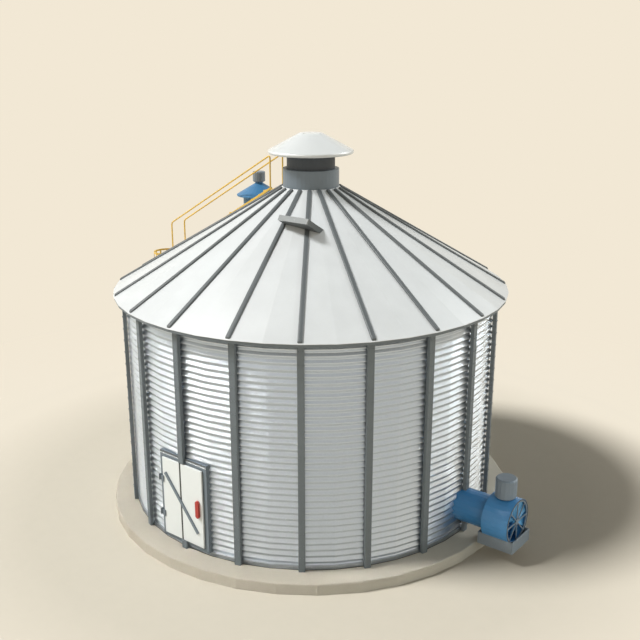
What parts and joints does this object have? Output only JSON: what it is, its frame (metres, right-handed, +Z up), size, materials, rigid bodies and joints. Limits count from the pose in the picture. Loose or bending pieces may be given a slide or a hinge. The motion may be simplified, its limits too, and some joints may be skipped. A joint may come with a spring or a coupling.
{
  "type": "grain silo",
  "caption": "Round corrugated steel grain bin on a slab, with a ribbed conical roof, vented peak, swinging door, aeration fan, caged ladder and roof stair.",
  "frame": {"origin": "on the ground on the silo's axis, in the middle of the slab's underside", "axes": "+Z up; the door faces -Y; the aeration fan is on the +X side and the ladder on the -X side"},
  "size_m": [11.8033, 10.352, 9.36],
  "materials": {
    "concrete": "matt cast concrete",
    "galvanised_sheet": "satin galvanised",
    "roof_sheet": "satin off-white",
    "white_paint": "gloss",
    "grey_steel": "satin",
    "dark_steel": "matt",
    "yellow_paint": "satin",
    "blue_paint": "satin",
    "red_paint": "gloss"
  },
  "bodies": {
    "silo": {"foundation_slab": "concrete", "base_ring": "grey_steel", "wall_front_left": "galvanised_sheet", "wall_front_right": "galvanised_sheet", "wall_over_door": "galvanised_sheet", "wall_right": "galvanised_sheet", "wall_back": "galvanised_sheet", "wall_left": "galvanised_sheet", "wall_post_01": "grey_steel", "wall_post_02": "grey_steel", "wall_post_03": "grey_steel", "wall_post_04": "grey_steel", "wall_post_05": "grey_steel", "wall_post_06": "grey_steel", "wall_post_07": "grey_steel", "wall_post_08": "grey_steel", "wall_post_09": "grey_steel", "wall_post_10": "grey_steel", "wall_post_11": "grey_steel", "wall_post_12": "grey_steel", "wall_post_13": "grey_steel", "wall_post_14": "grey_steel", "wall_post_15": "grey_steel", "wall_post_16": "grey_steel", "wall_post_17": "grey_steel", "wall_post_18": "grey_steel", "wall_post_19": "grey_steel", "wall_post_over_door": "grey_steel", "wall_post_foot_at_door": "grey_steel", "roof": "roof_sheet", "eave_ring": "grey_steel", "peak_collar": "grey_steel", "peak_throat": "dark_steel", "peak_cap": "white_paint", "door_frame": "grey_steel", "fan_duct": "blue_paint", "fan_drum": "blue_paint", "fan_base": "grey_steel", "fan_motor": "grey_steel", "fan_grille": "grey_steel", "roof_stair": "yellow_paint", "handrail_front": "yellow_paint", "handrail_back": "yellow_paint", "wall_ladder": "yellow_paint", "ladder_cage": "yellow_paint", "roof_hatch_body": "grey_steel", "roof_hatch_lid": "white_paint", "exhauster_housing": "blue_paint", "exhauster_cap": "blue_paint", "exhauster_motor": "grey_steel"},
    "door": {"door_leaf": "white_paint", "door_brace": "dark_steel", "door_handle": "red_paint"},
    "fan_rotor": {"fan_wheel": "blue_paint"}
  },
  "joints": [
    {"name": "door_swing", "type": "hinge", "parent": "silo", "child": "door", "pos_m": [-0.66, -4.668, 1.44], "axis": [0, 0, -1], "range_deg": [0, 120]},
    {"name": "fan_wheel_spin", "type": "hinge", "parent": "silo", "child": "fan_rotor", "pos_m": [5.981, 0, 0.967], "axis": [1, 0, 0], "continuous": true}
  ]
}
